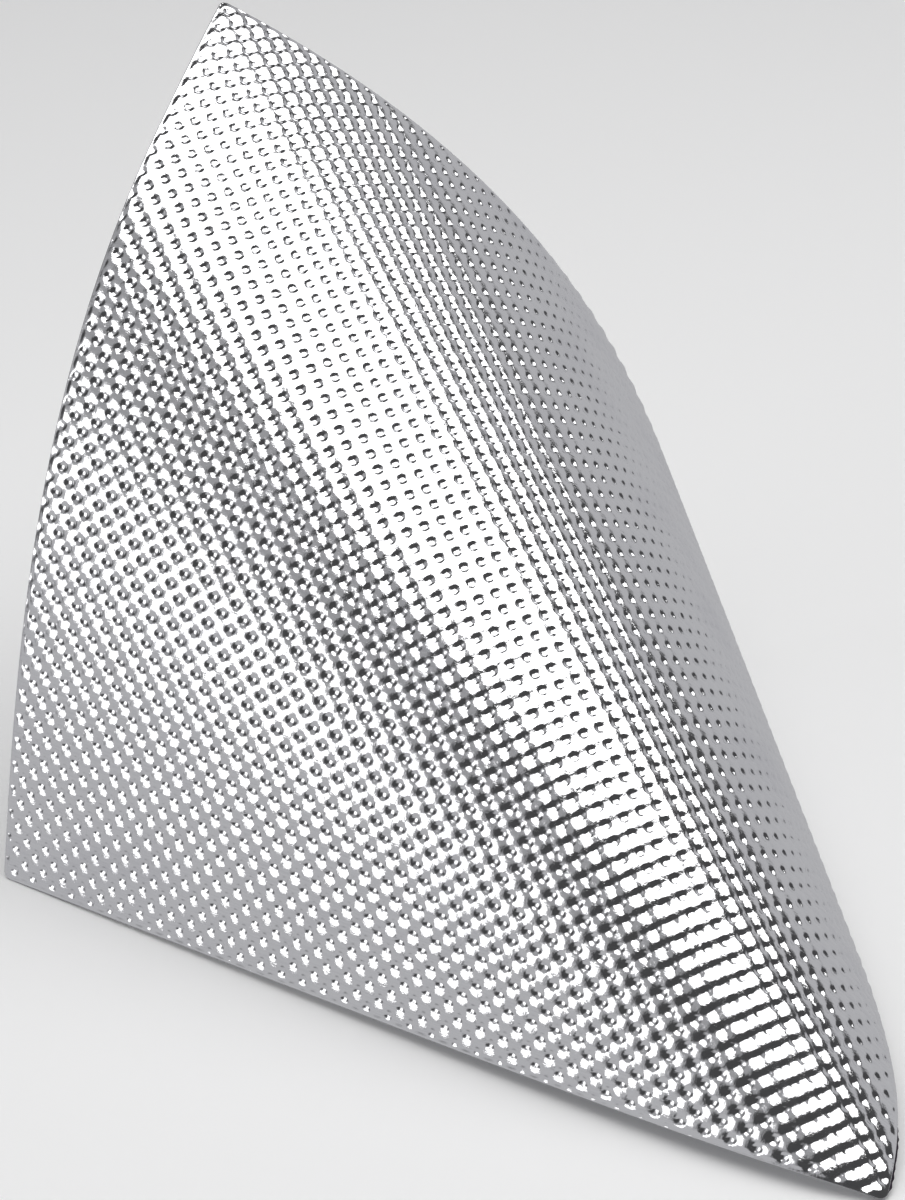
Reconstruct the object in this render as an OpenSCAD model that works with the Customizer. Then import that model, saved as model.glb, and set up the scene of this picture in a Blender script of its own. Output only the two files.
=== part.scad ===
// Thin foil-faced foam pad: one square sheet, bent along its diagonal so that it
// stands like a small tent on three of its corners.
//
// The sheet is first laid out flat, u to the right and v up, with its centre at
// (0, 0). It is then bent without stretching: every straight line of the bend
// meets at one point, the vertex, just past the lower right corner. A point of
// the flat sheet keeps its distance from the vertex and its angle round it, and
// only the direction of each straight line changes, so the result is a true
// development of the flat square.
//
// Corners of the flat sheet: top left = peak, bottom left and top right = side
// feet, bottom right = front foot.
// Frame: +Z up, X from the left side foot to the right side foot, +Y to the
// back. Origin on the floor, at the middle of the outline.

/* [Sheet] */
// Side of the square sheet, laid flat
side = 305; // [240:1:380]
// Grid squares along one side of the sheet
cells = 33; // [12:1:33]

/* [Layers] */
// Overall thickness of the embossed aluminium face, from the bottom of its dimples to the lands between them
face_t = 0.95; // [0.4:0.05:1.2]
// Thickness of each adhesive film
bond_t = 0.05; // [0.05:0.05:0.2]
// Thickness of the closed-cell foam core
core_t = 0.6; // [0.4:0.1:3]
// Thickness of the back skin
back_t = 0.1; // [0.05:0.05:0.3]
// How far skins and films stop short of the core's cut edge
trim = 0.3; // [0.2:0.1:1]

/* [Bend] */
// Vertex of the bend, right of the sheet's centre, as a share of the side
vertex_u = 0.7065; // [0.68:0.0005:0.8]
// Vertex of the bend, below the sheet's centre, as a share of the side
vertex_v = 0.682; // [0.66:0.0005:0.78]
// Direction of the crown from the vertex, anticlockwise from u
crown_dir = 143; // [138:0.5:148]
// Turn of the flanks for each unit of angle round the vertex
flank_turn = -0.47; // [-0.8:0.01:0.2]
// Extra turn of the wide arch
arch_turn = 3.27; // [2.4:0.01:3.6]
// Middle of the wide arch, clockwise from the crown
arch_mid = 9.3; // [4:0.1:12]
// Half width of the wide arch
arch_w = 28.3; // [22:0.1:34]
// Extra turn of the narrow crown
crown_turn = 2.2; // [0:0.1:3]
// Half width of the narrow crown
crown_w = 5.2; // [3:0.1:8]

/* [Hidden] */

half = side / 2;
au = vertex_u * side;
av = -vertex_v * side;

// ---- direction of each straight line of the bend ----
// rate of turn out of the flat, at an angle a (degrees) clockwise of the crown
function turn(a) = flank_turn
    + arch_turn * exp(-pow((a - arch_mid) / arch_w, 2))
    + crown_turn * exp(-pow(a / crown_w, 2));

// A frame has three rows: d along the straight line, t across it, n into the
// hollow. Over a small angle it turns about n + k d.
da = 0.5;
steps = 120;
ident = [[1, 0, 0], [0, 1, 0], [0, 0, 1]];
function spin(k, a) =
    let (w = [[0, 1, 0], [-1, 0, k], [0, -k, 0]],
         m = sqrt(1 + k * k),
         q = a * m)
    ident + w * (sin(q) / m) + w * w * ((1 - cos(q)) / (m * m));
ahead = [for (i = 0, f = ident; i <= steps; f = spin(turn((i + 0.5) * da), da) * f, i = i + 1) f];
behind = [for (i = 0, f = ident; i <= steps; f = spin(turn(-(i + 0.5) * da), -da) * f, i = i + 1) f];
function fr(i) = i >= 0 ? ahead[i] : behind[-i];
function unit(p) = p / norm(p);

// ---- bent place of the flat point (u, v), off outward of the middle surface ----
function bent(u, v, off) =
    let (x = u - au, y = v - av,
         a = (crown_dir - atan2(y, x)) / da,
         i = floor(a), s = a - i,
         f = fr(i) * (1 - s) + fr(i + 1) * s)
    unit(f[0]) * norm([x, y]) - unit(f[2]) * off;

// ---- stand the sheet on three corners of the core's inner face ----
low = -core_t / 2;
foot_l = bent(-half, -half, low);
foot_f = bent(half, -half, low);
foot_r = bent(half, half, low);
up = unit(cross(foot_r - foot_l, foot_f - foot_l))
    * sign(cross(foot_r - foot_l, foot_f - foot_l) * (bent(-half, half, 0) - foot_l));
ex = unit(foot_r - foot_l);
ey = cross(up, ex);
function stood(p) = [ex, ey, up] * (p - foot_l);

// ---- grid lines: the core's own edge, then the trimmed edge of the films ----
lines = concat([-half], [for (i = [0 : cells]) (half - trim) * (2 * i / cells - 1)], [half]);
top_line = len(lines) - 1;
function grid(off, a, b) = [for (i = [a : b]) for (j = [a : b])
    stood(bent(lines[i], lines[j], off))];

// ---- centre the outline over the origin ----
out_o = core_t / 2 + bond_t + face_t;
hem = concat(grid(out_o, 1, top_line - 1), grid(core_t / 2, 0, top_line), grid(low, 0, top_line),
    grid(low - bond_t - back_t, 1, top_line - 1));
mid_x = (min([for (p = hem) p[0]]) + max([for (p = hem) p[0]])) / 2;
mid_y = (min([for (p = hem) p[1]]) + max([for (p = hem) p[1]])) / 2;
low_z = min([for (p = hem) p[2]]);
shift = [mid_x, mid_y, low_z];

// ---- one layer between two offsets, from grid line a to grid line b ----
module layer(o_in, o_out, a, b) {
    m = b - a + 1;
    k = m * m;
    outer = grid(o_out, a, b);
    inner = grid(o_in, a, b);
    skin = [for (i = [0 : m - 2]) for (j = [0 : m - 2])
        let (p = i * m + j, q = p + m) each [[p, p + 1, q], [p + 1, q + 1, q]]];
    back = [for (t = skin) [t[0] + k, t[2] + k, t[1] + k]];
    rim = [for (i = [0 : m - 2])
        let (b0 = i * m, b1 = b0 + m, t0 = b0 + m - 1, t1 = t0 + m,
             l0 = i, l1 = i + 1, r0 = (m - 1) * m + i, r1 = r0 + 1)
        each [[b0, b1, b1 + k], [b0, b1 + k, b0 + k],
              [t1, t0, t0 + k], [t1, t0 + k, t1 + k],
              [l1, l0, l0 + k], [l1, l0 + k, l1 + k],
              [r0, r1, r1 + k], [r0, r1 + k, r0 + k]]];
    polyhedron(points = [for (p = concat(outer, inner)) p - shift],
        faces = concat(skin, back, rim), convexity = 4);
}

// Thin aluminium face on the outside of the bend
module face_skin()
    color([0.83, 0.84, 0.86]) layer(core_t / 2 + bond_t, out_o, 1, top_line - 1);

// Adhesive film between the face and the core
module face_bond_film()
    color([0.85, 0.78, 0.55]) layer(core_t / 2, core_t / 2 + bond_t, 1, top_line - 1);

// Dark closed-cell foam, cut to the full size of the sheet
module foam_core()
    color([0.10, 0.08, 0.11]) layer(low, core_t / 2, 0, top_line);

// Adhesive film between the core and the back skin
module back_bond_film()
    color([0.85, 0.78, 0.55]) layer(low - bond_t, low, 1, top_line - 1);

// Thin metallised skin inside the hollow
module back_skin()
    color([0.70, 0.71, 0.73]) layer(low - bond_t - back_t, low - bond_t, 1, top_line - 1);

face_skin();
face_bond_film();
foam_core();
back_bond_film();
back_skin();
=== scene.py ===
import math

import bpy
import numpy as np
from mathutils import Matrix, Vector


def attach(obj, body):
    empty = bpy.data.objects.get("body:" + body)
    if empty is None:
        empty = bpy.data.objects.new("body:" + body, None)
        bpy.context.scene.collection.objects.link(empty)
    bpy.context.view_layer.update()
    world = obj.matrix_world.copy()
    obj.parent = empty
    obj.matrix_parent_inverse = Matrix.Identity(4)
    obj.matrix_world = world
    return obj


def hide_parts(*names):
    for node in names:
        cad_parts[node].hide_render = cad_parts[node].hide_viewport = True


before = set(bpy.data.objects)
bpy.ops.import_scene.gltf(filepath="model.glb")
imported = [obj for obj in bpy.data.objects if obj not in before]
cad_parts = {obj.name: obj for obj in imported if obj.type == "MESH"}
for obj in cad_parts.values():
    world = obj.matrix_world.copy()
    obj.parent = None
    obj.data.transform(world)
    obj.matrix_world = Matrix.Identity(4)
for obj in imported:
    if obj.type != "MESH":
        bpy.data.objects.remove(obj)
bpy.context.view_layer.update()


scene = bpy.context.scene

# ------------------------------------------------------------------ design
# The same dimensions as the CAD source, in millimetres.
SIDE = 305.0
FACE_T, BOND_T, CORE_T, BACK_T, TRIM = 0.95, 0.05, 0.6, 0.1, 0.3
VERTEX_U, VERTEX_V = 0.7065, 0.682
CROWN_DIR = 143.0
FLANK_TURN, ARCH_TURN, ARCH_MID, ARCH_W, CROWN_TURN, CROWN_W = -0.47, 3.27, 9.3, 28.3, 2.2, 5.2
CELLS = 33

# The embossed face: rows of round dimples, every other row half a pitch along,
# a little askew of the cut edges, with a low pillow of metal between them.
PITCH_U, PITCH_V = 7.73, 7.91
SKEW = math.radians(2.0)
PHASE_U, PHASE_V = 0.435, 0.39
DIMPLE_R, DIMPLE_DEPTH, DIMPLE_EDGE = 1.36, 0.58, 3.4
PILLOW, PILLOW_EDGE = 0.33, 0.80
CORNER_R = 2.6

HALF = SIDE / 2
AU, AV = VERTEX_U * SIDE, -VERTEX_V * SIDE


def turn(deg):
    return (
        FLANK_TURN
        + ARCH_TURN * np.exp(-(((deg - ARCH_MID) / ARCH_W) ** 2))
        + CROWN_TURN * np.exp(-((deg / CROWN_W) ** 2))
    )


STEP = 0.25
STEPS = 240


def spun(k, a):
    w = np.array([[0, 1, 0], [-1, 0, k], [0, -k, 0]], float)
    m = math.sqrt(1 + k * k)
    q = math.radians(a) * m
    return np.eye(3) + w * math.sin(q) / m + w @ w * (1 - math.cos(q)) / (m * m)


def make_frames():
    out = np.zeros((2 * STEPS + 1, 3, 3))
    out[STEPS] = np.eye(3)
    for i in range(STEPS):
        out[STEPS + i + 1] = spun(turn((i + 0.5) * STEP), STEP) @ out[STEPS + i]
        out[STEPS - i - 1] = spun(turn(-(i + 0.5) * STEP), -STEP) @ out[STEPS - i]
    return out


FRAMES = make_frames()


def bent(u, v, off):
    """Places and outward normals of flat points (u, v), off outward of the middle."""
    x, y = u - AU, v - AV
    a = (CROWN_DIR - np.degrees(np.arctan2(y, x))) / STEP + STEPS
    i = np.clip(np.floor(a).astype(int), 0, 2 * STEPS - 1)
    s = (a - i)[..., None, None]
    f = FRAMES[i] * (1 - s) + FRAMES[i + 1] * s
    d = f[..., 0, :] / np.linalg.norm(f[..., 0, :], axis=-1, keepdims=True)
    n = f[..., 2, :] / np.linalg.norm(f[..., 2, :], axis=-1, keepdims=True)
    return d * np.hypot(x, y)[..., None] - n * np.asarray(off, float)[..., None], -n


LOW = -CORE_T / 2
f_l, f_f, f_r, peak = (
    bent(np.array([u]), np.array([v]), np.array([o]))[0][0]
    for u, v, o in ((-HALF, -HALF, LOW), (HALF, -HALF, LOW), (HALF, HALF, LOW), (-HALF, HALF, 0.0))
)
up = np.cross(f_r - f_l, f_f - f_l)
up *= np.sign(up @ (peak - f_l)) / np.linalg.norm(up)
ex = (f_r - f_l) / np.linalg.norm(f_r - f_l)
BASIS = np.array([ex, np.cross(up, ex), up])


def hem_shift():
    inner = (HALF - TRIM) * (2 * np.arange(CELLS + 1) / CELLS - 1)
    full = np.concatenate([[-HALF], inner, [HALF]])
    pts = []
    for lines, off in (
        (inner, CORE_T / 2 + BOND_T + FACE_T),
        (full, CORE_T / 2),
        (full, LOW),
        (inner, LOW - BOND_T - BACK_T),
    ):
        u, v = np.meshgrid(lines, lines)
        pts.append((bent(u.ravel(), v.ravel(), np.full(u.size, off))[0] - f_l) @ BASIS.T)
    pts = np.concatenate(pts)
    lo, hi = pts.min(0), pts.max(0)
    return np.array([(lo[0] + hi[0]) / 2, (lo[1] + hi[1]) / 2, lo[2]])


SHIFT = hem_shift()


def placed(u, v, off):
    """Points in the row frame, in metres, and their outward normals."""
    p, n = bent(u, v, off)
    return ((p - f_l) @ BASIS.T - SHIFT) / 1000.0, n @ BASIS.T


# ------------------------------------------------------------------ meshes
def rounded(u, v, half, r):
    """Draws the corner squares of a grid in to round corners."""
    u, v = u.copy(), v.copy()
    k = half - r
    in_u, in_v = np.abs(u) > k, np.abs(v) > k
    c = in_u & in_v
    p = (np.abs(u[c]) - k) / r
    q = (np.abs(v[c]) - k) / r
    su, sv = np.sign(u[c]), np.sign(v[c])
    u[c] = su * (k + r * p * np.sqrt(1 - q * q / 2))
    v[c] = sv * (k + r * q * np.sqrt(1 - p * p / 2))
    return u, v


def hem_distance(u, v, half, r):
    """How far inside the rounded outline a flat point is."""
    x, y = np.abs(u) - (half - r), np.abs(v) - (half - r)
    return r - np.hypot(np.maximum(x, 0), np.maximum(y, 0)) - np.minimum(np.maximum(x, y), 0)


def grid_lines(half, n, finer_edge=None):
    lines = np.linspace(-half, half, n + 1)
    if finer_edge:
        e = half - np.array(finer_edge)
        inner = lines[(np.abs(lines) < e.min() - 0.2)]
        lines = np.concatenate([[-half], -e[::-1][::-1], inner, e[::-1], [half]])
        lines = np.unique(np.round(lines, 6))
    return lines


def new_mesh(name, verts, faces, smooth=True):
    me = bpy.data.meshes.new(name)
    me.from_pydata([], [], [])
    sizes = np.array([len(f) for f in faces]) if not isinstance(faces, np.ndarray) else None
    if isinstance(faces, np.ndarray):
        loops = faces.ravel()
        total = np.full(len(faces), faces.shape[1], np.int32)
    else:
        loops = np.concatenate([np.asarray(f).ravel() for f in faces])
        total = np.concatenate([np.full(len(np.asarray(f)), np.asarray(f).shape[1], np.int32) for f in faces])
    start = np.concatenate([[0], np.cumsum(total)[:-1]]).astype(np.int32)
    me.vertices.add(len(verts))
    me.vertices.foreach_set("co", np.asarray(verts, np.float32).ravel())
    me.loops.add(len(loops))
    me.loops.foreach_set("vertex_index", loops.astype(np.int32))
    me.polygons.add(len(total))
    me.polygons.foreach_set("loop_start", start)
    me.polygons.foreach_set("use_smooth", np.full(len(total), smooth, bool))
    me.update(calc_edges=True)
    me.validate()
    ob = bpy.data.objects.new(name, me)
    scene.collection.objects.link(ob)
    return ob


def layer_faces(m):
    i, j = np.meshgrid(np.arange(m - 1), np.arange(m - 1), indexing="ij")
    p = (i * m + j).ravel()
    q = p + m
    outer = np.stack([p, q, q + 1, p + 1], 1)
    return outer


def rim_ids(m):
    """The vertices round a grid of m by m, in order, once round."""
    a = np.arange(m)
    return np.concatenate([a[:-1] * m, (m - 1) * m + a[:-1], (m - 1) * m * 0 + a[:0:-1] * m + (m - 1), a[:0:-1]])


def sheet_solid(name, lines_o, off_o, off_i, step=1, flip=False, ragged=0.0):
    """A closed thin solid between a fine grid at off_o and one at off_i, which takes every
    step-th line. The offsets are functions of the flat place. flip says that the fine
    grid is the one on the hollow side. The UV map is the flat sheet: the fine side
    large, its rim round it, the other side small beside it."""
    half = float(np.abs(lines_o).max())
    lines_i = lines_o[::step]
    assert (len(lines_o) - 1) % step == 0
    out = []
    for lines, fun in ((lines_o, off_o), (lines_i, off_i)):
        u, v = np.meshgrid(lines, lines, indexing="ij")
        u, v = rounded(u.ravel(), v.ravel(), half, CORNER_R)
        pu, pv = u, v
        if ragged:
            near = np.clip(1 - hem_distance(u, v, half, CORNER_R) / 1.0, 0, 1)
            wave = np.sin(u * 2.9 + 1.3 * np.sin(v * 1.7)) + np.sin(v * 3.7 + 1.1 * np.sin(u * 2.3)) + np.sin((u + v) * 6.1)
            k = 1 - near * ragged * (1.0 + wave / 3) / HALF
            pu, pv = u * k, v * k
            # the foam has spread past the foil along the last of the edge by the front foot
            along = np.clip((v + HALF - 1.0) / 4.0, 0, 1) * np.clip((30.0 - v - HALF) / 9.0, 0, 1)
            pu = pu + (u > HALF - 0.7) * along * (0.85 + 0.25 * np.sin(v * 1.9))
        out.append((u, v, placed(pu, pv, fun(pu, pv))[0]))
    mo, mi = len(lines_o), len(lines_i)
    verts = np.concatenate([out[0][2], out[1][2]])
    fo = layer_faces(mo)
    fi = layer_faces(mi)[:, ::-1] + mo * mo
    ro = rim_ids(mo)
    ri = rim_ids(mi) + mo * mo
    n = len(ri)
    ro_next = np.concatenate([ro, ro[:1]])
    ri_next = np.concatenate([ri, ri[:1]])
    cols = [ro_next[k : k + n * step : step] for k in range(step + 1)]
    rim = np.stack(cols[::-1] + [ri_next[:-1], ri_next[1:]], 1)
    groups = [fo, fi, rim]
    if flip:
        groups = [g[:, ::-1] for g in groups]
    ob = new_mesh(name, verts, groups)
    big, small = 0.70, 0.24
    flat_o = np.stack([out[0][0], out[0][1]], 1) / (2 * half)
    flat_i = np.stack([out[1][0], out[1][1]], 1) / (2 * half)
    uv = np.zeros((len(ob.data.loops), 2))
    loops = np.empty(len(ob.data.loops), np.int32)
    ob.data.loops.foreach_get("vertex_index", loops)
    is_i = loops >= mo * mo
    uv[~is_i] = flat_o[loops[~is_i]] * big + (0.37, 0.37)
    uv[is_i] = flat_i[loops[is_i] - mo * mo] * small + (0.87, 0.14)
    n_rim = groups[2].size
    at = np.zeros(len(loops), bool)
    at[len(loops) - n_rim :] = True
    q = at & is_i
    uv[q] = flat_i[loops[q] - mo * mo] * (big * 1.012) + (0.37, 0.37)
    layer = ob.data.uv_layers.new(name="OFBake")
    layer.data.foreach_set("uv", uv.astype(np.float32).ravel())
    return ob


CORE_TOP = CORE_T / 2
FACE_LOW = CORE_TOP + BOND_T
FACE_TOP = FACE_LOW + FACE_T


def lattice(u, v):
    """Place on the lattice of dimples, in pitches, one dimple at every whole number."""
    cu, su = math.cos(SKEW), math.sin(SKEW)
    return (cu * u - su * v) / PITCH_U + PHASE_U, (su * u + cu * v) / PITCH_V + PHASE_V


def embossing(u, v):
    """Height of the embossing at a flat place: 0 at a dimple's rim, up to PILLOW between
    dimples, and DIMPLE_DEPTH below 0 in the middle of one."""
    x, y = lattice(u, v)
    out = PILLOW * ((np.sin(np.pi * (x + y)) * np.sin(np.pi * (x - y))) ** 2 + 1e-4) ** PILLOW_EDGE
    for d in (0.0, 0.5):
        gx, gy = x - d, y - d
        cx, cy = np.round(gx), np.round(gy)
        for sx in (-1, 0, 1):
            for sy in (-1, 0, 1):
                if sx and sy:
                    continue
                # no two dimples come out of the press quite alike
                kx, ky = cx + sx, cy + sy
                h1 = np.sin(kx * 12.9898 + ky * 78.233 + d * 37.7) * 43758.5453
                h2 = np.sin(kx * 39.346 + ky * 11.135 + d * 83.1) * 24634.6345
                h1, h2 = h1 - np.floor(h1) - 0.5, h2 - np.floor(h2) - 0.5
                r = np.hypot((gx - kx) * PITCH_U + 0.16 * h1, (gy - ky) * PITCH_V + 0.16 * h2)
                out -= DIMPLE_DEPTH * (1 + 0.07 * h2) * np.exp(-((r / (DIMPLE_R * (1 + 0.05 * h1))) ** DIMPLE_EDGE))
    return out


def face_height(u, v):
    e = np.maximum(hem_distance(u, v, HALF, CORNER_R), 0.0)
    # pressed flat along the cut edge, where the shears bore down on it
    roll = np.clip((e - 0.1) / 2.1, 0, 1)
    roll = roll * roll * (3 - 2 * roll)
    rim = 0.14 * np.sqrt(np.clip(e / 0.12, 0, 1)) + 0.10
    level = rim + (FACE_T - PILLOW - 0.24) * roll
    return FACE_LOW + np.maximum(level + embossing(u, v) * roll, 0.06)


def flat(off):
    return lambda u, v: np.full(u.shape, off)


# Lines of the face, closer together at the hem
per = 696
inner_lines = np.linspace(-(HALF - 2.4), HALF - 2.4, per + 1)
hem_lines = HALF - np.array([0.0, 0.08, 0.22, 0.45, 0.8, 1.2, 1.6, 2.0])
face_lines = np.concatenate([-hem_lines, inner_lines, hem_lines[::-1]])
assert (len(face_lines) - 1) % 4 == 0, len(face_lines)
face = sheet_solid("embossed_face", face_lines, face_height, flat(FACE_LOW), step=4)


def back_height(u, v):
    """The back foil is smooth, but the rows of dimples show through it faintly."""
    x, y = lattice(u, v)
    e = np.clip(hem_distance(u, v, HALF - TRIM, CORNER_R) / 3.0, 0, 1)
    low = np.cos(np.pi * (x + y)) ** 2 * np.cos(np.pi * (x - y)) ** 2
    crease = 0.012 * np.sin(u * 0.11 + 0.6 * np.sin(v * 0.07)) * np.sin(v * 0.09 + 0.5 * np.sin(u * 0.05))
    return LOW - BOND_T - BACK_T + 0.012 + e * (crease - 0.10 * low)


soft_lines = grid_lines(HALF, 200)
core = sheet_solid("foam_core_pad", soft_lines, flat(CORE_TOP), flat(LOW), ragged=0.12)
trim_lines = grid_lines(HALF - TRIM, 160)
film_a = sheet_solid("face_film", trim_lines, flat(FACE_LOW), flat(CORE_TOP))
film_b = sheet_solid("back_film", trim_lines, flat(LOW), flat(LOW - BOND_T))
back = sheet_solid("back_foil", grid_lines(HALF - TRIM, 300), back_height, flat(LOW - BOND_T), step=4, flip=True)

PIECES = ((face, "face_skin", "face_aluminium"), (film_a, "face_bond_film", "adhesive"), (core, "foam_core", "foam"),
          (film_b, "back_bond_film", "adhesive"), (back, "back_skin", "back_aluminium"))
for ob, node, slot in PIECES:
    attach(ob, "root")
    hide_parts(node)


# ------------------------------------------------------------------ materials
def material(name):
    m = bpy.data.materials.new(name)
    m.use_nodes = True
    nt = m.node_tree
    nt.nodes.clear()
    out = nt.nodes.new("ShaderNodeOutputMaterial")
    bsdf = nt.nodes.new("ShaderNodeBsdfPrincipled")
    nt.links.new(bsdf.outputs[0], out.inputs["Surface"])
    return m, nt, bsdf


ROOM_BRIGHT = (
    # azimuth, height, reach, core (degrees), how bright
    (72.0, 0.0, 46.0, 29.0, 0.46),
    (-88.0, 14.0, 37.0, 20.0, 0.45),
    (-88.0, 45.0, 34.0, 18.0, 0.33),
)


def math_node(nt, op, a, b=None, clamp=False):
    n = nt.nodes.new("ShaderNodeMath")
    n.operation = op
    n.use_clamp = clamp
    for k, x in enumerate((a, b)):
        if x is None:
            continue
        if isinstance(x, (int, float)):
            n.inputs[k].default_value = x
        else:
            nt.links.new(x, n.inputs[k])
    return n.outputs[0]


def spread(nt, x, lo, hi, out_lo=0.0, out_hi=1.0):
    n = nt.nodes.new("ShaderNodeMapRange")
    n.interpolation_type = "SMOOTHSTEP"
    for k, val in ((1, lo), (2, hi), (3, out_lo), (4, out_hi)):
        n.inputs[k].default_value = val
    nt.links.new(x, n.inputs[0])
    return n.outputs[0]


def grain(nt, scale, stretch=None, detail=3.0, flat_sheet=False):
    """Noise over the object in metres, or over the flat sheet, drawn out along one way."""
    if flat_sheet:
        n = nt.nodes.new("ShaderNodeUVMap")
        n.uv_map = "OFBake"
        at = n.outputs[0]
    else:
        at = nt.nodes.new("ShaderNodeTexCoord").outputs["Object"]
    if stretch:
        n = nt.nodes.new("ShaderNodeMapping")
        n.inputs["Scale"].default_value = stretch
        nt.links.new(at, n.inputs["Vector"])
        at = n.outputs[0]
    n = nt.nodes.new("ShaderNodeTexNoise")
    n.inputs["Scale"].default_value = scale
    n.inputs["Detail"].default_value = detail
    nt.links.new(at, n.inputs["Vector"])
    return n.outputs[0]


def blend(nt, x, one, two):
    """A colour between two, by x."""
    n = nt.nodes.new("ShaderNodeMix")
    n.data_type = "RGBA"
    n.inputs[6].default_value = (*one, 1)
    n.inputs[7].default_value = (*two, 1)
    nt.links.new(x, n.inputs[0])
    return n.outputs[2]


def bump(nt, b, height, distance, strength=1.0):
    n = nt.nodes.new("ShaderNodeBump")
    n.inputs["Strength"].default_value = strength
    n.inputs["Distance"].default_value = distance
    nt.links.new(height, n.inputs["Height"])
    nt.links.new(n.outputs[0], b.inputs["Normal"])


def foil(name, bright, dull, rough, crinkle, crinkle_depth):
    """Rolled aluminium: fine rolling lines one way, soft patches, crinkles."""
    m, nt, b = material(name)
    b.inputs["Metallic"].default_value = 1.0
    lines = grain(nt, 1.0, (5.0, 760.0, 1.0), 4.0, True)
    patches = grain(nt, 34.0, None, 4.0)
    specks = grain(nt, 1500.0, None, 2.0)
    worn = math_node(nt, "MULTIPLY", math_node(nt, "ADD", spread(nt, lines, 0.42, 0.72), spread(nt, patches, 0.46, 0.74)), 0.5)
    worn = math_node(nt, "ADD", worn, spread(nt, specks, 0.66, 0.76, 0.0, 0.5), True)
    nt.links.new(blend(nt, worn, bright, dull), b.inputs["Base Color"])
    nt.links.new(math_node(nt, "ADD", math_node(nt, "MULTIPLY", worn, rough[1] - rough[0]), rough[0]), b.inputs["Roughness"])
    fine = math_node(nt, "ADD", grain(nt, crinkle, None, 3.0), math_node(nt, "MULTIPLY", lines, 0.25))
    bump(nt, b, fine, crinkle_depth)
    return m


alu = foil("bright_aluminium", (0.90, 0.903, 0.915), (0.80, 0.80, 0.83), (0.10, 0.21), 620.0, 0.00011)
satin = foil("satin_aluminium", (0.87, 0.875, 0.89), (0.72, 0.725, 0.75), (0.27, 0.42), 210.0, 0.00016)

foam, nt, b = material("dark_foam")
cell = nt.nodes.new("ShaderNodeTexVoronoi")
cell.inputs["Scale"].default_value = 2300.0
nt.links.new(nt.nodes.new("ShaderNodeTexCoord").outputs["Object"], cell.inputs["Vector"])
pore_depth_and_shade = spread(nt, cell.outputs["Distance"], 0.1, 0.6)
mottle = grain(nt, 160.0, None, 4.0)
# The pore hollows are painted darker, as painted shade inside the pores, over a mottle that varies the tone at
# random. The same pore mask also gives the bump depth.
nt.links.new(blend(nt, math_node(nt, "MULTIPLY", pore_depth_and_shade, spread(nt, mottle, 0.3, 0.7, 0.4, 1.0)),
                   (0.006, 0.004, 0.007), (0.055, 0.038, 0.060)), b.inputs["Base Color"])
nt.links.new(spread(nt, mottle, 0.3, 0.7, 0.62, 0.92), b.inputs["Roughness"])
b.inputs["Specular IOR Level"].default_value = 0.35
bump(nt, b, pore_depth_and_shade, 0.00012)

film, nt, b = material("adhesive_film")
streaks = grain(nt, 1.0, (14.0, 420.0, 1.0), 4.0, True)
cloud = grain(nt, 95.0, None, 4.0)
nt.links.new(blend(nt, math_node(nt, "MULTIPLY", math_node(nt, "ADD", streaks, cloud), 0.5), (0.70, 0.63, 0.50), (0.86, 0.82, 0.72)), b.inputs["Base Color"])
nt.links.new(spread(nt, cloud, 0.3, 0.7, 0.22, 0.46), b.inputs["Roughness"])
bump(nt, b, streaks, 0.00004)
for ob, m in ((face, alu), (core, foam), (film_a, film), (film_b, film), (back, satin)):
    ob.data.materials.append(m)

# ------------------------------------------------------------------ camera
cam_data = bpy.data.cameras.new("camera")
cam = bpy.data.objects.new("camera", cam_data)
scene.collection.objects.link(cam)
cam_data.sensor_fit = "VERTICAL"
cam_data.sensor_height = 36.0
cam_data.sensor_width = 36.0 * 905 / 1200
cam_data.lens = 94.05
cam_data.clip_start = 0.05
cam_data.clip_end = 20.0
EYE = Vector((-0.45075, -0.69040, 0.54466))
AIM = Vector((0.46109, 0.75135, -0.47210)).normalized()
ROLL = math.radians(0.34)
right = AIM.cross(Vector((0, 0, 1))).normalized()
upv = right.cross(AIM).normalized()
right, upv = (right * math.cos(ROLL) + upv * math.sin(ROLL), upv * math.cos(ROLL) - right * math.sin(ROLL))
cam.matrix_world = Matrix(((right.x, upv.x, -AIM.x, EYE.x), (right.y, upv.y, -AIM.y, EYE.y),
                           (right.z, upv.z, -AIM.z, EYE.z), (0, 0, 0, 1)))
scene.camera = cam

# ------------------------------------------------------------------ stage
bpy.ops.mesh.primitive_plane_add(size=16.0, location=(0, 0, 0))
floor = bpy.context.object
floor.name = "floor"
fm, nt, b = material("pale_floor")
b.inputs["Base Color"].default_value = (0.9, 0.9, 0.9, 1)
b.inputs["Roughness"].default_value = 0.7
floor.data.materials.append(fm)
floor.visible_glossy = False


def toward(az, el):
    """Unit vector at an azimuth from +Y towards +X and a height above level, in degrees."""
    a, e = math.radians(az), math.radians(el)
    return (math.sin(a) * math.cos(e), math.cos(a) * math.cos(e), math.sin(e))


world = bpy.data.worlds.new("studio")
scene.world = world
world.use_nodes = True
wn = world.node_tree
background = wn.nodes["Background"]
background.inputs[1].default_value = 1.0
where = wn.nodes.new("ShaderNodeTexCoord").outputs["Generated"]


def lobe(az, el, wide, core):
    """1 within core degrees of a direction, 0 beyond wide."""
    n = wn.nodes.new("ShaderNodeVectorMath")
    n.operation = "DOT_PRODUCT"
    wn.links.new(where, n.inputs[0])
    n.inputs[1].default_value = toward(az, el)
    return spread(wn, n.outputs["Value"], math.cos(math.radians(wide)), math.cos(math.radians(core)))


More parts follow.
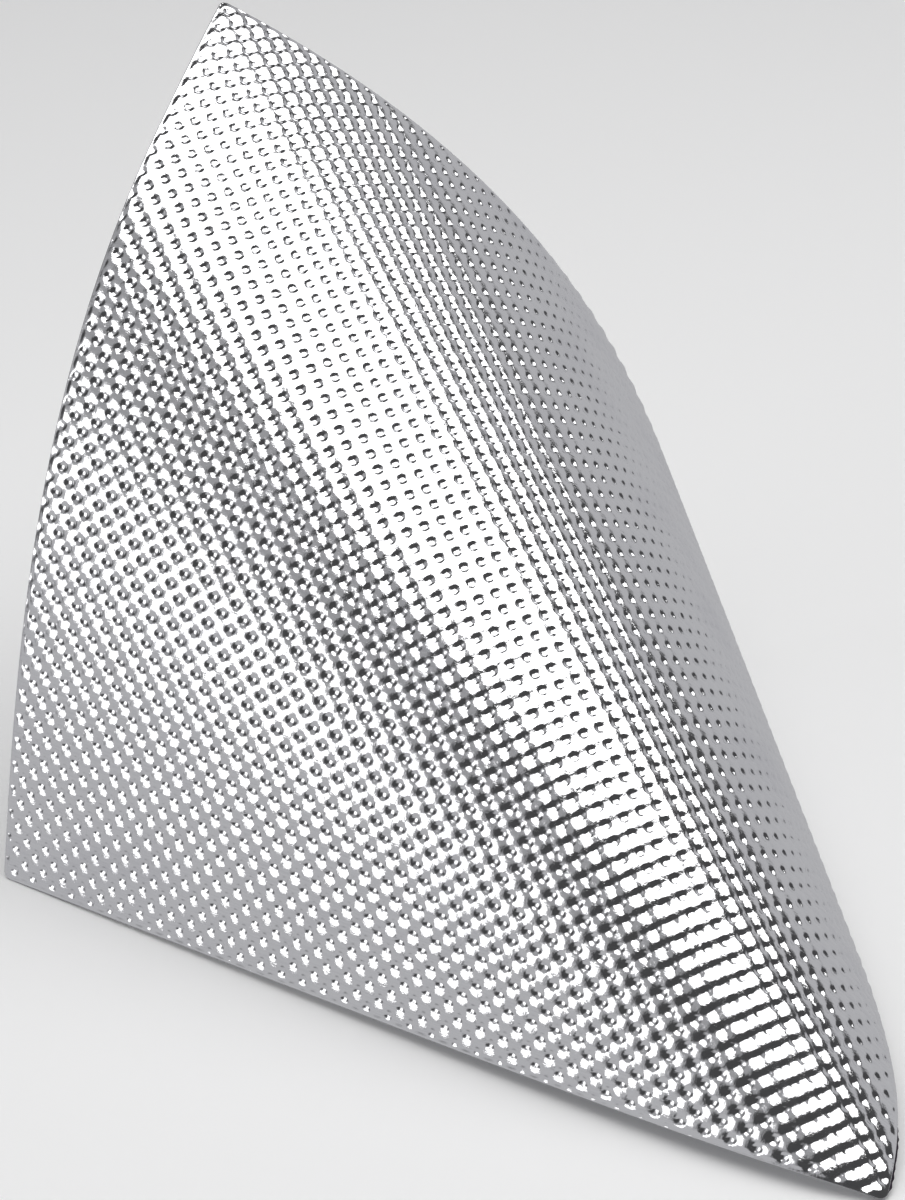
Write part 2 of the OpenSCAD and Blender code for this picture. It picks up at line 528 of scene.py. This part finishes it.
# A dark room over a grey floor, with pale walls to the left and right of the object
split = wn.nodes.new("ShaderNodeSeparateXYZ")
wn.links.new(where, split.inputs[0])
glow = spread(wn, split.outputs[2], -0.16, 0.06, 0.46, 0.06)
glow = math_node(wn, "MULTIPLY", glow, spread(wn, split.outputs[2], -0.97, -0.66, 0.2, 1.0))
for az, el, wide, core, bright in ROOM_BRIGHT:
    glow = math_node(wn, "MAXIMUM", glow, math_node(wn, "MULTIPLY", lobe(az, el, wide, core), bright))
mix = wn.nodes.new("ShaderNodeCombineColor")
for k, tint in enumerate((1.0, 1.0, 1.03)):
    wn.links.new(math_node(wn, "MULTIPLY", glow, tint), mix.inputs[k])
wn.links.new(mix.outputs[0], background.inputs[0])


def area(name, centre, to, size, size_y, radiance, up="Y"):
    d = bpy.data.lights.new(name, "AREA")
    d.shape = "RECTANGLE"
    d.size, d.size_y = size, size_y
    d.energy = radiance * math.pi * size * size_y
    o = bpy.data.objects.new(name, d)
    o.location = centre
    o.rotation_euler = (Vector(to) - Vector(centre)).to_track_quat("-Z", up).to_euler()
    scene.collection.objects.link(o)
    return o


def softbox(name, centre, to, size, size_y, radiance, frame_w):
    """A soft light in a black frame."""
    o = area(name, centre, to, size, size_y, radiance)
    bpy.ops.mesh.primitive_plane_add(size=1.0)
    back = bpy.context.object
    back.name = name + "_frame"
    back.scale = (size + 2 * frame_w, size_y + 2 * frame_w, 1.0)
    back.rotation_euler = o.rotation_euler
    aim = (Vector(to) - Vector(centre)).normalized()
    back.location = Vector(centre) - aim * 0.02
    back.data.materials.append(black_cloth)
    back.visible_camera = False


black_cloth, nt, b = material("black_cloth")
b.inputs["Base Color"].default_value = (0.01, 0.01, 0.011, 1)
b.inputs["Roughness"].default_value = 0.9
b.inputs["Specular IOR Level"].default_value = 0.1
softbox("left_softbox", (-1.5, 0.0, 0.50), (0.0, 0.0, 0.43), 0.86, 1.02, 1.8, 0.03)
softbox("top_softbox", (0.36, -0.24, 1.75), (0.36, -0.239, 0.0), 2.46, 1.84, 2.2, 0.05)

# Fill for the floor: a wide overhead light that the metal doesn't mirror
fill = area("fill", (0.2, 1.0, 2.5), (0.2, 1.001, 0.0), 5.0, 5.0, 0.55)
fill.visible_glossy = False

scene.view_settings.view_transform = "Standard"
scene.view_settings.look = "None"
